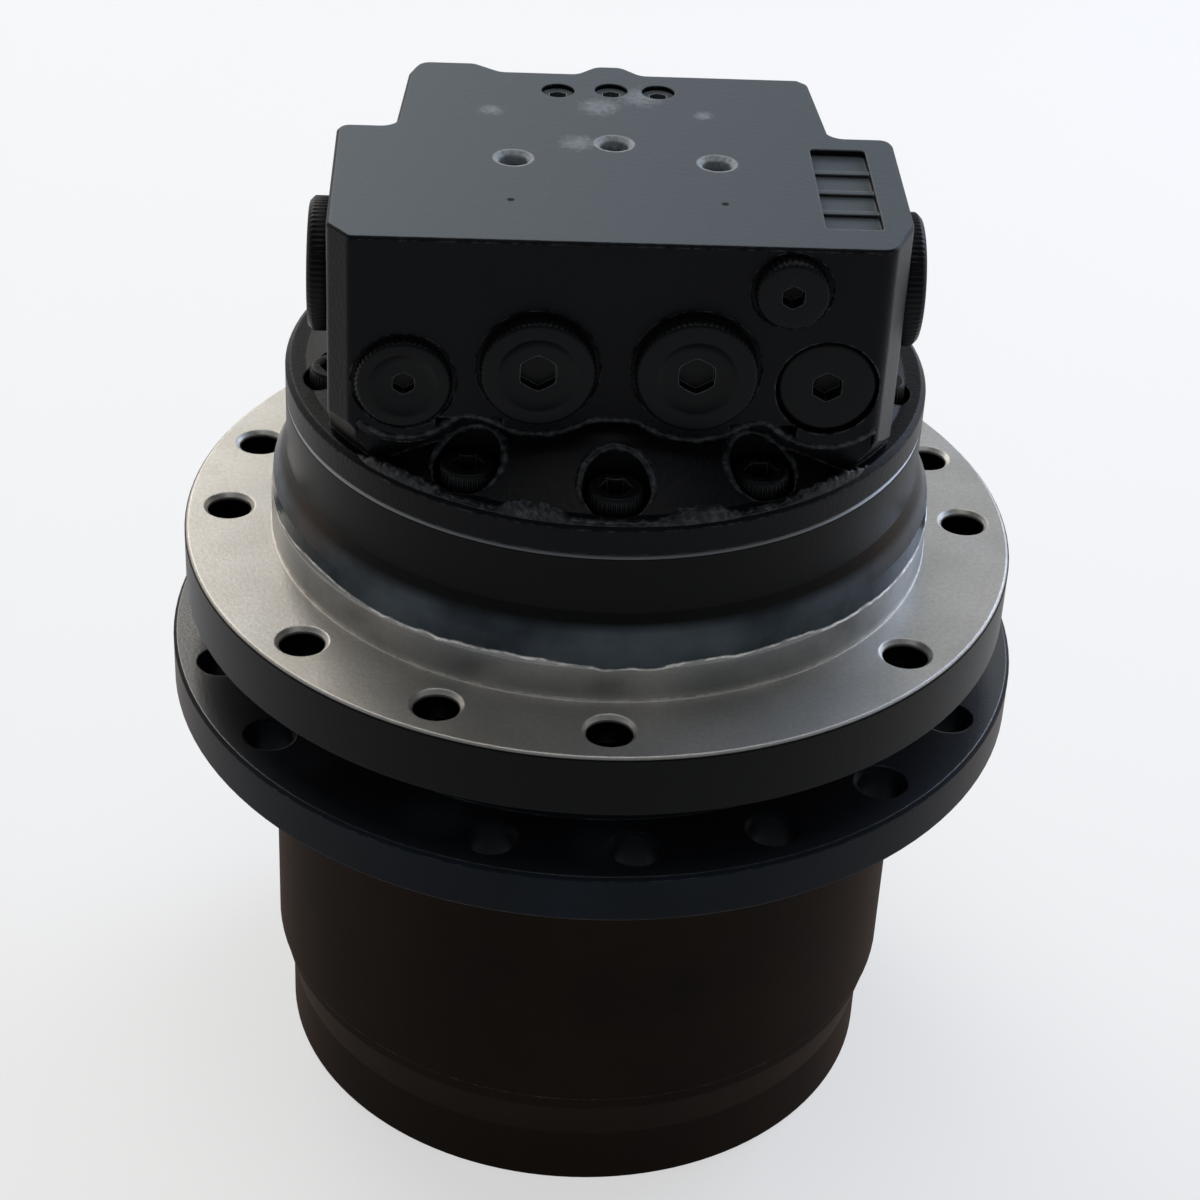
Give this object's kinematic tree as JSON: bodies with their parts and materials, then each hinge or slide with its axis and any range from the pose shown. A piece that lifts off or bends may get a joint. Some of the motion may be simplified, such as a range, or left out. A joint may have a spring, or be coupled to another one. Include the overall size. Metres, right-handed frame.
{
  "type": "excavator final drive",
  "caption": "Tracked excavator travel drive: hydraulic motor with valve block, frame flange, sprocket flange and planetary hub that turn a crawler track.",
  "frame": {"origin": "centre of the frame flange's mounting face, on the turning axis", "axes": "+Z along the turning axis from the hub to the valve block, -Y towards the face with the valve plugs, +X to the right of that face"},
  "size_m": [0.2718, 0.2718, 0.326],
  "materials": {
    "black_paint": "satin black paint over cast iron",
    "machined_iron": "cast iron, machined bare on the flange",
    "black_steel": "black oxide steel under a thin coat of paint",
    "spring_steel": "oil tempered spring wire",
    "ground_steel": "hardened and ground",
    "bearing_steel": "ground bearing steel",
    "seal_iron": "lapped chilled iron",
    "seal_rubber": "nitrile rubber",
    "brake_steel": "plain hardened plate",
    "friction_lining": "paper friction lining on steel",
    "gear_steel": "case hardened gear steel",
    "carrier_iron": "machined ductile iron",
    "bush_bronze": "leaded bronze"
  },
  "bodies": {
    "casing": {"spindle": "machined_iron", "valve_block": "black_paint", "valve_block_screws": "black_steel", "speed_valve_plug": "black_steel", "speed_spring": "spring_steel", "left_relief_plug": "black_steel", "right_relief_plug": "black_steel", "brake_valve_plug": "black_steel", "upper_gallery_plug": "black_steel", "left_spool_cap": "black_steel", "right_spool_cap": "black_steel", "left_spool_spring": "spring_steel", "right_spool_spring": "spring_steel", "gallery_plugs": "black_steel", "valve_plate": "ground_steel", "upper_shaft_bearing": "bearing_steel", "swash_plate": "ground_steel", "brake_plates": "brake_steel", "brake_springs": "spring_steel", "lower_shaft_bearing_outer": "bearing_steel", "shaft_seal": "seal_rubber", "upper_bearing_inner_ring": "bearing_steel", "lower_bearing_inner_ring": "bearing_steel", "bearing_rollers": "bearing_steel", "fixed_seal_ring": "seal_iron", "fixed_seal_rubber": "seal_rubber", "second_carrier": "carrier_iron", "second_carrier_screws": "black_steel", "second_carrier_pins": "ground_steel", "second_carrier_bushes": "bush_bronze"},
    "hub": {"hub": "black_paint", "end_cover": "black_paint", "cover_screws": "black_steel", "oil_plugs": "black_steel", "thrust_plate": "ground_steel", "upper_bearing_outer_ring": "bearing_steel", "lower_bearing_outer_ring": "bearing_steel", "bearing_spacer": "bearing_steel", "turning_seal_ring": "seal_iron", "turning_seal_rubber": "seal_rubber"},
    "motor_shaft": {"drive_shaft": "ground_steel", "cylinder_block": "ground_steel", "pistons": "ground_steel", "slipper_retainer": "ground_steel", "brake_discs": "friction_lining", "lower_shaft_bearing_inner": "bearing_steel", "first_sun_gear": "gear_steel"},
    "first_carrier": {"first_carrier": "carrier_iron", "first_carrier_pins": "ground_steel", "first_carrier_bushes": "bush_bronze", "second_sun_gear": "gear_steel"},
    "brake_piston": {"brake_piston": "ground_steel"},
    "counterbalance_spool": {"counterbalance_spool": "ground_steel"},
    "speed_spool": {"speed_spool": "ground_steel"},
    "first_planet_a": {"first_planet_a": "gear_steel"},
    "second_planet_a": {"second_planet_a": "gear_steel"},
    "first_planet_b": {"first_planet_b": "gear_steel"},
    "second_planet_b": {"second_planet_b": "gear_steel"},
    "first_planet_c": {"first_planet_c": "gear_steel"},
    "second_planet_c": {"second_planet_c": "gear_steel"}
  },
  "joints": [
    {"name": "hub_turn", "type": "hinge", "parent": "casing", "child": "hub", "pos_m": [0, 0, 0], "axis": [0, 0, 1], "continuous": true},
    {"name": "motor_shaft_turn", "type": "hinge", "parent": "casing", "child": "motor_shaft", "pos_m": [0, 0, 0], "axis": [0, 0, 1], "continuous": true},
    {"name": "first_carrier_turn", "type": "hinge", "parent": "casing", "child": "first_carrier", "pos_m": [0, 0, 0], "axis": [0, 0, 1], "continuous": true},
    {"name": "first_planet_a_turn", "type": "hinge", "parent": "first_carrier", "child": "first_planet_a", "pos_m": [0, 0.0495, -0.141], "axis": [0, 0, 1], "continuous": true},
    {"name": "second_planet_a_turn", "type": "hinge", "parent": "casing", "child": "second_planet_a", "pos_m": [0.04287, 0.02475, -0.104], "axis": [0, 0, 1], "continuous": true},
    {"name": "first_planet_b_turn", "type": "hinge", "parent": "first_carrier", "child": "first_planet_b", "pos_m": [-0.04287, -0.02475, -0.141], "axis": [0, 0, 1], "continuous": true},
    {"name": "second_planet_b_turn", "type": "hinge", "parent": "casing", "child": "second_planet_b", "pos_m": [-0.04287, 0.02475, -0.104], "axis": [0, 0, 1], "continuous": true},
    {"name": "first_planet_c_turn", "type": "hinge", "parent": "first_carrier", "child": "first_planet_c", "pos_m": [0.04287, -0.02475, -0.141], "axis": [0, 0, 1], "continuous": true},
    {"name": "second_planet_c_turn", "type": "hinge", "parent": "casing", "child": "second_planet_c", "pos_m": [0, -0.0495, -0.104], "axis": [0, 0, 1], "continuous": true},
    {"name": "brake_release", "type": "slide", "parent": "casing", "child": "brake_piston", "axis": [0, 0, 1], "range_m": [0, 0.0015], "stiffness_N_per_m": 20000, "springref_m": -0.005, "deforming": ["brake_springs"]},
    {"name": "counterbalance_shift", "type": "slide", "parent": "casing", "child": "counterbalance_spool", "axis": [1, 0, 0], "range_m": [-0.006, 0.006], "stiffness_N_per_m": 2000, "deforming": ["left_spool_spring", "right_spool_spring"]},
    {"name": "speed_shift", "type": "slide", "parent": "casing", "child": "speed_spool", "axis": [0, 1, 0], "range_m": [0, 0.005], "stiffness_N_per_m": 1500, "springref_m": -0.002, "deforming": ["speed_spring"]}
  ],
  "couplings": [
    {"joint": "motor_shaft_turn", "follows": "hub_turn", "ratio": -29.25},
    {"joint": "first_carrier_turn", "follows": "hub_turn", "ratio": -4.5},
    {"joint": "first_planet_a_turn", "follows": "hub_turn", "ratio": 14.143},
    {"joint": "second_planet_a_turn", "follows": "hub_turn", "ratio": 2.5714},
    {"joint": "first_planet_b_turn", "follows": "hub_turn", "ratio": 14.143},
    {"joint": "second_planet_b_turn", "follows": "hub_turn", "ratio": 2.5714},
    {"joint": "first_planet_c_turn", "follows": "hub_turn", "ratio": 14.143},
    {"joint": "second_planet_c_turn", "follows": "hub_turn", "ratio": 2.5714}
  ]
}
